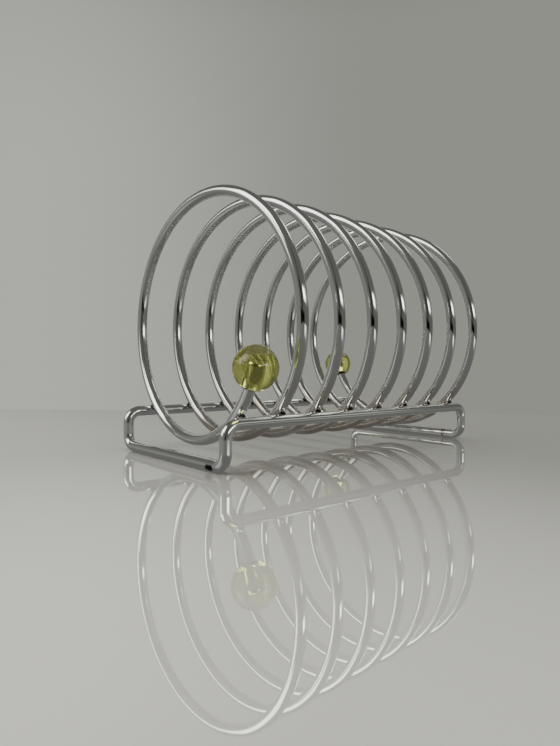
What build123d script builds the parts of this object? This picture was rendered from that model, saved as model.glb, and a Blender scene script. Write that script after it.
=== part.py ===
"""Chrome wire toast rack.

One long wire is wound into a horizontal coil. It lies in a base of the same wire: two rails, each
bent down at both ends into short legs and across into a foot that lies on the table. Every turn is
welded to both rails, and each end of the coil carries a clear bead.

Origin: on the table, midway between the feet and midway between the rails. +X runs along the coil
from the front end to the rear end, +Y points to the left rail, +Z is up.
"""

import os
from math import asin, cos, degrees, radians, sin, sqrt

from build123d import *

# Driving dimensions, in millimetres and degrees
WIRE_DIAMETER = 4.5
COIL_RADIUS = 50.0  # to the middle of the wire
COIL_PITCH = 19.0
TOP_COUNT = 7  # times the wire crosses over the top
COIL_LEAN = 1.7  # the tops sit this far towards the front end, the bottoms this far to the rear
FRONT_TAIL = 65.0  # turn from the lowest point of the coil up to the front bead's middle
REAR_TAIL = 68.5  # the same at the rear end
RAIL_SPACING = 73.0  # middle to middle
RAIL_HEIGHT = 17.0  # table to the middle of the rail
FOOT_SPACING = 150.0  # middle to middle
BEND_RADIUS = 5.0  # to the middle of the wire
BUTT_JOINT_Y = -27.0  # where each foot's two wires meet
BUTT_WELD_LENGTH = 0.8
BEAD_DIAMETER = 16.0
BEAD_BORE_CLEARANCE = 0.03  # radial, filled with adhesive
WIRE_PAST_BEAD_MIDDLE = 2.0
WELD_GAP = 0.1  # between the coil's and the rail's surfaces, filled by the weld
RAIL_WELD_RADIUS = 1.9
COIL_POINT_STEP = 10.0  # turn between the points that the coil's centreline passes through
WELD_SPAN = 6.0  # turn to each side of a weld, longer than the weld

# Sizes that follow from the driving dimensions
WIRE_RADIUS = WIRE_DIAMETER / 2
HALF_SPACING = RAIL_SPACING / 2
HALF_LENGTH = FOOT_SPACING / 2
COIL_TO_RAIL = COIL_RADIUS + WIRE_DIAMETER + WELD_GAP
COIL_AXIS_HEIGHT = RAIL_HEIGHT + sqrt(COIL_TO_RAIL**2 - HALF_SPACING**2)
CONTACT_ANGLE = degrees(asin(HALF_SPACING / COIL_TO_RAIL))  # from the lowest point to a rail
LAST_BOTTOM = 180.0 * TOP_COUNT  # turn from the middle of the coil to its last lowest point
PAST_BEAD_MIDDLE_TURN = degrees(WIRE_PAST_BEAD_MIDDLE / COIL_RADIUS)
FRONT_BEAD_TURN = -(LAST_BOTTOM + FRONT_TAIL)
REAR_BEAD_TURN = LAST_BOTTOM + REAR_TAIL
BEAD_BORE_TURN = degrees(1.5 * BEAD_DIAMETER / 2 / COIL_RADIUS)


def coil_point(turn):
    """Middle of the coil's wire, a given turn in degrees on from the middle one of its tops."""
    angle = radians(turn)
    along = COIL_PITCH * turn / 360 - COIL_LEAN * cos(angle)
    return Vector(along, -COIL_RADIUS * sin(angle), COIL_AXIS_HEIGHT + COIL_RADIUS * cos(angle))


def coil_tube(first_turn, last_turn, radius):
    """Round tube along the coil's centreline between two turns."""
    steps = max(6, round((last_turn - first_turn) / COIL_POINT_STEP))
    turns = [first_turn + (last_turn - first_turn) * step / steps for step in range(steps + 1)]
    with BuildPart() as tube:
        with BuildLine() as centreline:
            Spline([coil_point(turn) for turn in turns])
        with BuildSketch(Plane(origin=centreline.line @ 0, z_dir=centreline.line % 0)):
            Circle(radius)
        sweep(path=centreline.line)
    return tube.part


def bent_wire(corners):
    """Wire through the given corners, with every corner bent to the same radius."""
    with BuildPart() as wire:
        with BuildLine() as centreline:
            FilletPolyline(*corners, radius=BEND_RADIUS)
        with BuildSketch(Plane(origin=centreline.line @ 0, z_dir=centreline.line % 0)):
            Circle(WIRE_RADIUS)
        sweep(path=centreline.line)
    return wire.part


def bead(bead_turn, bore_first_turn, bore_last_turn):
    """Clear bead with a blind bore that follows the wire's curve."""
    bore = coil_tube(bore_first_turn, bore_last_turn, WIRE_RADIUS + BEAD_BORE_CLEARANCE)
    with BuildPart(Plane(origin=coil_point(bead_turn))) as ball:
        Sphere(BEAD_DIAMETER / 2)
        with Locations(Location(-coil_point(bead_turn))):
            add(bore, mode=Mode.SUBTRACT)
    return ball.part


def rail_welds(side):
    """Eight small welds that fill the gap where the turns lie on one rail; side is +1 or -1."""
    first_turn = -LAST_BOTTOM + side * CONTACT_ANGLE
    turn_of_coil = coil_tube(first_turn - WELD_SPAN, first_turn + WELD_SPAN, WIRE_RADIUS)
    rail_middle = Vector(coil_point(first_turn).X, side * HALF_SPACING, RAIL_HEIGHT)
    to_coil = (coil_point(first_turn) - rail_middle).normalized()
    with BuildPart() as one_weld:
        with Locations(rail_middle + to_coil * (WIRE_RADIUS + WELD_GAP / 2)):
            Sphere(RAIL_WELD_RADIUS)
        with Locations(Location(rail_middle, (0, 90, 0))):
            Cylinder(WIRE_RADIUS, 4 * RAIL_WELD_RADIUS, mode=Mode.SUBTRACT)
        add(turn_of_coil, mode=Mode.SUBTRACT)
    with BuildPart() as welds:
        with Locations([(COIL_PITCH * number, 0, 0) for number in range(TOP_COUNT + 1)]):
            add(one_weld.part)
    return welds.part


def butt_weld(along):
    """Short slug of weld metal between the two wires of one foot."""
    with BuildPart(Plane(origin=(along, BUTT_JOINT_Y, WIRE_RADIUS), z_dir=(0, 1, 0))) as slug:
        Cylinder(WIRE_RADIUS, BUTT_WELD_LENGTH)
    return slug.part


def base_corners(side, joint_y):
    """Corners of one base wire, from the front foot's joint round to the rear foot's joint."""
    rail_y = side * HALF_SPACING
    return [
        (-HALF_LENGTH, joint_y, WIRE_RADIUS),
        (-HALF_LENGTH, rail_y, WIRE_RADIUS),
        (-HALF_LENGTH, rail_y, RAIL_HEIGHT),
        (HALF_LENGTH, rail_y, RAIL_HEIGHT),
        (HALF_LENGTH, rail_y, WIRE_RADIUS),
        (HALF_LENGTH, joint_y, WIRE_RADIUS),
    ]


pieces = {
    "coil_wire": coil_tube(
        FRONT_BEAD_TURN - PAST_BEAD_MIDDLE_TURN, REAR_BEAD_TURN + PAST_BEAD_MIDDLE_TURN, WIRE_RADIUS
    ),
    "base_wire_left": bent_wire(base_corners(1, BUTT_JOINT_Y + BUTT_WELD_LENGTH / 2)),
    "base_wire_right": bent_wire(base_corners(-1, BUTT_JOINT_Y - BUTT_WELD_LENGTH / 2)),
    "butt_weld_front": butt_weld(-HALF_LENGTH),
    "butt_weld_rear": butt_weld(HALF_LENGTH),
    "rail_welds_left": rail_welds(1),
    "rail_welds_right": rail_welds(-1),
    "bead_front": bead(
        FRONT_BEAD_TURN, FRONT_BEAD_TURN - PAST_BEAD_MIDDLE_TURN, FRONT_BEAD_TURN + BEAD_BORE_TURN
    ),
    "bead_rear": bead(
        REAR_BEAD_TURN, REAR_BEAD_TURN - BEAD_BORE_TURN, REAR_BEAD_TURN + PAST_BEAD_MIDDLE_TURN
    ),
}

os.makedirs("parts", exist_ok=True)
for name, piece in pieces.items():
    piece.label = name
    export_step(piece, f"parts/{name}.step")
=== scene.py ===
"""Looks for the wire toast rack: bright chrome, weld metal and clear yellow-green beads."""
import math

import bmesh
import bpy
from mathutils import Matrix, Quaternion, Vector


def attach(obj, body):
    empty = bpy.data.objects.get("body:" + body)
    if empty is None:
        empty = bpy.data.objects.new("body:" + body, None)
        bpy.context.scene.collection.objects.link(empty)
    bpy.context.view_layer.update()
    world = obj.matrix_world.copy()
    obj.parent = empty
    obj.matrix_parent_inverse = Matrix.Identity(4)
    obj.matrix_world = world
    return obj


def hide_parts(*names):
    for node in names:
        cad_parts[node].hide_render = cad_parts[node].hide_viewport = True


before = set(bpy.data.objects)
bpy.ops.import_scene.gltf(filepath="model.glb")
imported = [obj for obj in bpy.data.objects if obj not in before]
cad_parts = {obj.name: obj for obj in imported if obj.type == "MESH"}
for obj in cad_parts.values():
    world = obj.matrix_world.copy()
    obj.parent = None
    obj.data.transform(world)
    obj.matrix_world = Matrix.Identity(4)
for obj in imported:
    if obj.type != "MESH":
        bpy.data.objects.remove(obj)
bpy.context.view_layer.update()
MM = 0.001

# Camera: where it stands in metres, how it looks in degrees, and its lens in mm on a 36 mm sensor
CAMERA_POSITION = (-0.1832, -0.1876, 0.0366)
CAMERA_HEADING = 48.73
CAMERA_PITCH = -0.56
CAMERA_ROLL = 0.34
CAMERA_LENS = 26.28
CAMERA_CLIP_START = 0.005

# Rack, in mm and degrees: the same dimensions as the CAD's
WIRE_RADIUS = 2.25
COIL_RADIUS = 50.0
COIL_PITCH = 19.0
COIL_LEAN = 1.7
RAIL_HEIGHT = 17.0
HALF_SPACING = 36.5
WELD_GAP = 0.1
COIL_TO_RAIL = COIL_RADIUS + 2 * WIRE_RADIUS + WELD_GAP
COIL_AXIS_HEIGHT = RAIL_HEIGHT + math.sqrt(COIL_TO_RAIL**2 - HALF_SPACING**2)
BEAD_RADIUS = 8.0
WIRE_PAST_BEAD_MIDDLE = 2.0
FRONT_TAIL = 65.0
REAR_TAIL = 68.5
LAST_BOTTOM = 1260.0
FRONT_BEAD_TURN = -(LAST_BOTTOM + FRONT_TAIL)
REAR_BEAD_TURN = LAST_BOTTOM + REAR_TAIL
PAST_BEAD_MIDDLE_TURN = math.degrees(WIRE_PAST_BEAD_MIDDLE / COIL_RADIUS)

# Mesh of the coil: rings along the wire and sides round it
COIL_RINGS = 2050
COIL_SIDES = 48

# Overhead light, in metres and watts
LIGHT_SIZE = 1.2
LIGHT_HEIGHT = 1.1
LIGHT_POWER = 14.0

# Floor, in metres and degrees: a disc cut off by a straight far edge
FLOOR_RADIUS = 0.34
FAR_EDGE = 0.185  # from the middle of the rack
FAR_EDGE_TURN = -3.5  # from square across the view
# Painted light on the floor: brightest where the window light falls, with painted shade towards the
# room side and with distance from FLOOR_FRONT
FLOOR_FRONT = (-183.0, -188.0, 0.0)  # mm, the place from which the floor darkens with distance
FLOOR_WINDOW_SIDE = (0.86, 0.848, 0.785, 1.0)
FLOOR_ROOM_SIDE = (0.42, 0.414, 0.375, 1.0)
FLOOR_PAINTED_FAR_SHADE = (0.16, 0.159, 0.150, 1.0)
# Painted glow, which the chrome and the beads see in place of the lit floor, with no shadows
FLOOR_GLOW = (1.0, 0.99, 0.93, 1.0)
FLOOR_ROUGHNESS = 0.012
BLACK = (0.0, 0.0, 0.0, 1.0)

# Room: soft-edged places on an even sky, each with its azimuth, elevation, half width,
# half height and edge in degrees, then its strength
ROOM_LEVEL = 0.125
ROOM_TINT = (0.99, 1.0, 0.90)
WALLS = [
    (40.0, 0.0, 46.0, 38.0, 14.0, 0.175),
    (74.0, 0.0, 18.0, 36.0, 36.0, 0.22),
    (140.0, 2.0, 52.0, 16.0, 20.0, 0.09),
]
DARK_PLACES = [
    (-134.0, -7.0, 34.0, 4.5, 5.0, 0.97),
    (-133.0, 8.0, 12.0, 10.0, 8.0, 0.75),
    (-125.0, 30.0, 15.0, 14.0, 12.0, 0.30),
    (88.0, 8.0, 7.5, 40.0, 8.0, 0.55),
]
WINDOWS = [
    (-80.0, 13.5, 15.0, 4.5, 5.0, 5.0),
    (-50.0, 14.0, 16.0, 5.0, 8.0, 0.5),
    (159.0, 42.0, 24.0, 14.0, 8.0, 3.2),
    (140.0, 24.0, 12.0, 10.0, 8.0, 2.4),
    (157.0, 17.0, 10.0, 6.0, 6.0, 1.6),
    (-2.0, 46.0, 14.0, 4.0, 4.0, 2.6),
]

# Materials
CHROME = (0.80, 0.81, 0.82, 1.0)
CHROME_BROWN = (0.50, 0.42, 0.34, 1.0)
RUST = (0.30, 0.17, 0.09, 1.0)
PIT = (0.006, 0.005, 0.005, 1.0)
WELD_SCALE = (0.015, 0.014, 0.013, 1.0)
WELD_BARE = (0.34, 0.24, 0.20, 1.0)
BEAD_PLASTIC = (0.69, 0.74, 0.20, 1.0)
RUST_PLACE = (75.0, -27.0, 2.5)  # mm, at the rear foot's joint
PIT_PLACES = [(-78.3, -28.6, 1.1), (-78.4, -30.2, 1.2), (-78.4, -31.8, 1.5)]  # mm, at the front foot's


# ---- node helpers ----------------------------------------------------------------------------

class Nodes:
    """A node tree with short calls for the few node types used here."""

    def __init__(self, tree):
        self.tree = tree
        tree.nodes.clear()

    def add(self, kind, **settings):
        node = self.tree.nodes.new(kind)
        for name, value in settings.items():
            setattr(node, name, value)
        return node

    def link(self, source, target):
        self.tree.links.new(source, target)

    def feed(self, socket, value):
        """Links a socket to another socket, or sets it to a constant."""
        if isinstance(value, bpy.types.NodeSocket):
            self.link(value, socket)
        else:
            socket.default_value = value

    def math(self, operation, *values):
        node = self.add("ShaderNodeMath", operation=operation)
        for socket, value in zip(node.inputs, values):
            self.feed(socket, value)
        return node.outputs[0]

    def smooth(self, value, from_low, from_high, to_low=0.0, to_high=1.0):
        """Smooth step of a value between two limits."""
        node = self.add("ShaderNodeMapRange", interpolation_type="SMOOTHSTEP")
        for socket, number in zip(node.inputs, (value, from_low, from_high, to_low, to_high)):
            self.feed(socket, number)
        return node.outputs[0]

    def mix(self, factor, first, second):
        """Colour between two colours."""
        node = self.add("ShaderNodeMix", data_type="RGBA")
        self.feed(node.inputs[0], factor)
        self.feed(node.inputs[6], first)
        self.feed(node.inputs[7], second)
        return node.outputs[2]

    def noise(self, vector, scale, detail):
        node = self.add("ShaderNodeTexNoise")
        self.link(vector, node.inputs["Vector"])
        node.inputs["Scale"].default_value = scale
        node.inputs["Detail"].default_value = detail
        return node.outputs[0]

    def split(self, vector):
        """The x, y and z of a vector."""
        node = self.add("ShaderNodeSeparateXYZ")
        self.link(vector, node.inputs[0])
        return node.outputs

    def distance_mm(self, position, point):
        """Distance in metres from a point given in mm."""
        node = self.add("ShaderNodeVectorMath", operation="DISTANCE")
        self.link(position, node.inputs[0])
        node.inputs[1].default_value = [MM * number for number in point]
        return node.outputs["Value"]

    def near_mm(self, position, point, inner, outer):
        """1 within the inner distance of a point, falling to 0 at the outer distance, in mm."""
        return self.smooth(self.distance_mm(position, point), MM * inner, MM * outer, 1.0, 0.0)


# ---- camera, room, floor and light -----------------------------------------------------------

def make_camera():
    heading, pitch, roll = (math.radians(a) for a in (CAMERA_HEADING, CAMERA_PITCH, CAMERA_ROLL))
    level = Vector((math.cos(heading), math.sin(heading), 0.0)) * math.cos(pitch)
    forward = level + Vector((0.0, 0.0, math.sin(pitch)))
    camera = bpy.data.objects.new("camera", bpy.data.cameras.new("camera"))
    bpy.context.scene.collection.objects.link(camera)
    camera.rotation_mode = "QUATERNION"
    upright = forward.to_track_quat("-Z", "Y")
    camera.rotation_quaternion = upright @ Quaternion((0.0, 0.0, 1.0), roll)
    camera.location = CAMERA_POSITION
    camera.data.lens = CAMERA_LENS
    camera.data.clip_start = CAMERA_CLIP_START
    bpy.context.scene.camera = camera


def sky_patch(nodes, direction, place):
    """Soft-edged rectangle on the sky, times its strength."""
    azimuth, elevation, half_width, half_height, edge, strength = place
    turn = nodes.add("ShaderNodeVectorRotate", rotation_type="Z_AXIS")
    nodes.link(direction, turn.inputs["Vector"])
    turn.inputs["Angle"].default_value = -math.radians(azimuth)
    x, y, z = nodes.split(turn.outputs[0])
    across = nodes.math("ABSOLUTE", nodes.math("ARCTAN2", y, x))
    height = nodes.math("SUBTRACT", nodes.math("ARCSINE", z), math.radians(elevation))
    away = nodes.math("ABSOLUTE", height)
    masks = [
        nodes.smooth(value, math.radians(half - edge / 2), math.radians(half + edge / 2), 1.0, 0.0)
        for value, half in ((across, half_width), (away, half_height))
    ]
    return nodes.math("MULTIPLY", nodes.math("MULTIPLY", *masks), strength)


def make_world():
    """An even sky with walls added, then darkened in places, then with windows added."""
    world = bpy.data.worlds.new("room")
    bpy.context.scene.world = world
    world.use_nodes = True
    nodes = Nodes(world.node_tree)
    direction = nodes.add("ShaderNodeTexCoord").outputs["Generated"]
    level = ROOM_LEVEL
    for place in WALLS:
        level = nodes.math("ADD", level, sky_patch(nodes, direction, place))
    for place in DARK_PLACES:
        left_over = nodes.math("SUBTRACT", 1.0, sky_patch(nodes, direction, place))
        level = nodes.math("MULTIPLY", level, left_over)
    for place in WINDOWS:
        level = nodes.math("ADD", level, sky_patch(nodes, direction, place))
    tint = nodes.add("ShaderNodeCombineColor")
    for socket, share in zip(tint.inputs, ROOM_TINT):
        nodes.link(nodes.math("MULTIPLY", level, share), socket)
    shade = nodes.add("ShaderNodeBackground")
    nodes.link(tint.outputs[0], shade.inputs[0])
    out = nodes.add("ShaderNodeOutputWorld")
    nodes.link(shade.outputs[0], out.inputs[0])


def floor_material():
    """Glossy, with painted light and shade: brightest at the window side, darker towards the room side
    and with distance; the rack's chrome sees it as an even pale grey, a painted glow with no shadows.
    """
    material = bpy.data.materials.new("floor")
    material.use_nodes = True
    nodes = Nodes(material.node_tree)
    place = nodes.add("ShaderNodeTexCoord").outputs["Object"]
    # Painted light and shade: lighter at the window side, darker towards the room side and with
    # distance
    painted_room_shade = nodes.smooth(nodes.split(place)[0], -0.17, 0.06)
    colour = nodes.mix(painted_room_shade, FLOOR_WINDOW_SIDE, FLOOR_ROOM_SIDE)
    far = nodes.smooth(nodes.distance_mm(place, FLOOR_FRONT), 0.06, 0.26, 0.0, 0.6)
    colour = nodes.mix(far, colour, FLOOR_PAINTED_FAR_SHADE)
    shaders = []
    # First what the chrome and the beads see: a black floor with an even painted glow in place of the
    # lit floor, so no shadows show in its reflections; then what the camera sees
    for base_colour, index, glow in ((BLACK, 1.45, 0.14), (colour, 6.5, 0.0)):
        shader = nodes.add("ShaderNodeBsdfPrincipled")
        nodes.feed(shader.inputs["Base Color"], base_colour)
        shader.inputs["Roughness"].default_value = FLOOR_ROUGHNESS
        shader.inputs["IOR"].default_value = index
        shader.inputs["Emission Color"].default_value = FLOOR_GLOW
        shader.inputs["Emission Strength"].default_value = glow
        shaders.append(shader)
    both = nodes.add("ShaderNodeMixShader")
    nodes.link(nodes.add("ShaderNodeLightPath").outputs["Is Camera Ray"], both.inputs[0])
    for shader, socket in zip(shaders, both.inputs[1:]):
        nodes.link(shader.outputs[0], socket)
    out = nodes.add("ShaderNodeOutputMaterial")
    nodes.link(both.outputs[0], out.inputs[0])
    return material


def make_floor():
    bpy.ops.mesh.primitive_circle_add(vertices=256, radius=FLOOR_RADIUS, fill_type="NGON")
    floor = bpy.context.object
    floor.name = "floor"
    heading = math.radians(CAMERA_HEADING + FAR_EDGE_TURN)
    outward = Vector((math.cos(heading), math.sin(heading), 0.0))
    for corner in floor.data.vertices:
        past_edge = corner.co.dot(outward) - FAR_EDGE
        corner.co -= outward * max(past_edge, 0.0)
    floor.data.materials.append(floor_material())


def make_light():
    light = bpy.data.lights.new("overhead", "AREA")
    light.shape = "DISK"
    light.size = LIGHT_SIZE
    light.energy = LIGHT_POWER
    lamp = bpy.data.objects.new("overhead", light)
    lamp.location = (0.0, 0.0, LIGHT_HEIGHT)
    lamp.visible_glossy = False
    bpy.context.scene.collection.objects.link(lamp)


# ---- materials -------------------------------------------------------------------------------

def new_material(name):
    material = bpy.data.materials.new(name)
    material.use_nodes = True
    nodes = Nodes(material.node_tree)
    shader = nodes.add("ShaderNodeBsdfPrincipled")
    out = nodes.add("ShaderNodeOutputMaterial")
    nodes.link(shader.outputs[0], out.inputs[0])
    position = nodes.add("ShaderNodeTexCoord").outputs["Object"]
    return material, nodes, shader, position


def bump(nodes, shader, height, distance, strength=1.0):
    node = nodes.add("ShaderNodeBump")
    node.inputs["Distance"].default_value = distance
    node.inputs["Strength"].default_value = strength
    nodes.link(height, node.inputs["Height"])
    nodes.link(node.outputs[0], shader.inputs["Normal"])


def plate_dullness(nodes, position, least):
    """Roughness of the chrome plate, with slow variation from place to place."""
    return nodes.smooth(nodes.noise(position, 40.0, detail=0.0), 0.3, 0.8, least, least + 0.02)


def coil_chrome():
    """Bright chrome, browned low down by the heat of welding and duller inside the turns."""
    material, nodes, shader, position = new_material("coil_chrome")
    shader.inputs["Metallic"].default_value = 1.0
    along, across, height = nodes.split(position)
    low = nodes.smooth(height, 8 * MM, 40 * MM, 1.0, 0.0)
    low = nodes.math("MULTIPLY", low, nodes.smooth(along, -62 * MM, -48 * MM))
    blotch = nodes.smooth(nodes.noise(position, 90.0, detail=4.0), 0.35, 0.65, 0.4, 1.0)
    brown = nodes.math("MULTIPLY", nodes.math("MULTIPLY", low, blotch), 0.8)
    nodes.link(nodes.mix(brown, CHROME, CHROME_BROWN), shader.inputs["Base Color"])

    slice_place = nodes.add("ShaderNodeCombineXYZ")
    nodes.link(across, slice_place.inputs[1])
    nodes.link(height, slice_place.inputs[2])
    radius = nodes.distance_mm(slice_place.outputs[0], (0.0, 0.0, COIL_AXIS_HEIGHT))
    inner_side = nodes.smooth(radius, 49.6 * MM, 51.2 * MM, 1.0, 0.0)
    unpolished = nodes.smooth(height, 60 * MM, 78 * MM, 0.03, 0.14)
    extra = nodes.math("MULTIPLY", inner_side, unpolished)
    dullness = nodes.math("ADD", plate_dullness(nodes, position, 0.06), extra)
    nodes.link(dullness, shader.inputs["Roughness"])
    return material


def base_chrome():
    """Bright chrome, with rust at the rear foot's joint and a dark pit at the front foot's."""
    material, nodes, shader, position = new_material("base_chrome")
    shader.inputs["Metallic"].default_value = 1.0
    ragged = nodes.smooth(nodes.noise(position, 1400.0, detail=3.0), 0.3, 0.7, -0.3, 0.3)
    rust = nodes.math("ADD", nodes.near_mm(position, RUST_PLACE, 1.2, 3.6), ragged)
    rust = nodes.smooth(rust, 0.3, 0.8, 0.0, 0.8)
    pit = nodes.math("MAXIMUM", *(nodes.near_mm(position, place, 1.2, 2.9) for place in PIT_PLACES))
    pit = nodes.smooth(nodes.math("ADD", pit, ragged), 0.35, 0.6)
    nodes.link(nodes.mix(pit, nodes.mix(rust, CHROME, RUST), PIT), shader.inputs["Base Color"])
    roughened = nodes.math("MULTIPLY", nodes.math("ADD", rust, pit), 0.35)
    dullness = nodes.math("ADD", plate_dullness(nodes, position, 0.05), roughened)
    nodes.link(dullness, shader.inputs["Roughness"])
    return material


def weld_metal():
    """Dark welding scale with bare patches, slightly lumpy."""
    material, nodes, shader, position = new_material("weld_metal")
    shader.inputs["Metallic"].default_value = 0.8
    bare = nodes.smooth(nodes.noise(position, 900.0, detail=4.0), 0.45, 0.7)
    nodes.link(nodes.mix(bare, WELD_SCALE, WELD_BARE), shader.inputs["Base Color"])
    shader.inputs["Roughness"].default_value = 0.35
    bump(nodes, shader, nodes.noise(position, 1500.0, detail=3.0), 0.15 * MM)
    return material


def clear_bead():
    """Clear tinted plastic with a slightly uneven surface."""
    material, nodes, shader, position = new_material("clear_bead")
    shader.inputs["Base Color"].default_value = BEAD_PLASTIC
    shader.inputs["Transmission Weight"].default_value = 1.0
    shader.inputs["IOR"].default_value = 1.49
    shader.inputs["Roughness"].default_value = 0.10
    bump(nodes, shader, nodes.noise(position, 160.0, detail=2.0), 0.05 * MM, 0.5)
    return material


# ---- pieces that replace CAD nodes -----------------------------------------------------------

def coil_point(turn):
    """Middle of the coil's wire, a given turn in degrees on from the middle one of its tops."""
    angle = math.radians(turn)
    along = COIL_PITCH * turn / 360 - COIL_LEAN * math.cos(angle)
    height = COIL_AXIS_HEIGHT + COIL_RADIUS * math.cos(angle)
    return Vector((along, -COIL_RADIUS * math.sin(angle), height)) * MM


def wire_ring(turn):
    """Points round the coil's wire at a given turn."""
    middle = coil_point(turn)
    along = (coil_point(turn + 0.01) - coil_point(turn - 0.01)).normalized()
    across = (Vector((1.0, 0.0, 0.0)) - along * along.x).normalized()
    beyond = along.cross(across)
    points = []
    for side in range(COIL_SIDES):
        angle = 2 * math.pi * side / COIL_SIDES
        offset = across * math.cos(angle) + beyond * math.sin(angle)
        points.append(middle + offset * (WIRE_RADIUS * MM))
    return points


def make_coil(material):
    """The coil's wire, finer than the CAD mesh so that its reflections run smoothly."""
    first_turn = FRONT_BEAD_TURN - PAST_BEAD_MIDDLE_TURN
    last_turn = REAR_BEAD_TURN + PAST_BEAD_MIDDLE_TURN
    points = []
    for ring in range(COIL_RINGS + 1):
        points += wire_ring(first_turn + (last_turn - first_turn) * ring / COIL_RINGS)
    faces = []
    for ring in range(COIL_RINGS):
        for side in range(COIL_SIDES):
            first, second = ring * COIL_SIDES + side, ring * COIL_SIDES + (side + 1) % COIL_SIDES
            faces.append((first, second, second + COIL_SIDES, first + COIL_SIDES))
    tube_faces = len(faces)
    faces.append(tuple(range(COIL_SIDES))[::-1])
    faces.append(tuple(range(COIL_RINGS * COIL_SIDES, (COIL_RINGS + 1) * COIL_SIDES)))
    mesh = bpy.data.meshes.new("coil")
    mesh.from_pydata(points, [], faces)
    mesh.polygons.foreach_set("use_smooth", [face < tube_faces for face in range(len(faces))])
    mesh.materials.append(material)
    coil = bpy.data.objects.new("coil", mesh)
    bpy.context.scene.collection.objects.link(coil)
    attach(coil, "root")
    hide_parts("coil_wire")


def make_bead(name, node, turn, material):
    """A ball with no gap round the wire, where the adhesive fills the bore."""
    mesh = bpy.data.meshes.new(name)
    shape = bmesh.new()
    bmesh.ops.create_uvsphere(shape, u_segments=128, v_segments=64, radius=BEAD_RADIUS * MM)
    bmesh.ops.translate(shape, verts=shape.verts, vec=coil_point(turn))
    for face in shape.faces:
        face.smooth = True
    shape.to_mesh(mesh)
    shape.free()
    mesh.materials.append(material)
    bead = bpy.data.objects.new(name, mesh)
    bpy.context.scene.collection.objects.link(bead)
    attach(bead, "root")
    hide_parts(node)


def dress(names, material):
    """Gives CAD nodes their material."""
    for name in names:
        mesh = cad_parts[name].data
        mesh.materials.clear()
        mesh.materials.append(material)


make_camera()
make_world()
make_floor()
make_light()

make_coil(coil_chrome())
dress(("base_wire_left", "base_wire_right", "butt_weld_front", "butt_weld_rear"), base_chrome())
dress(("rail_welds_left", "rail_welds_right"), weld_metal())
bead_plastic = clear_bead()
make_bead("front_ball", "bead_front", FRONT_BEAD_TURN, bead_plastic)
make_bead("rear_ball", "bead_rear", REAR_BEAD_TURN, bead_plastic)
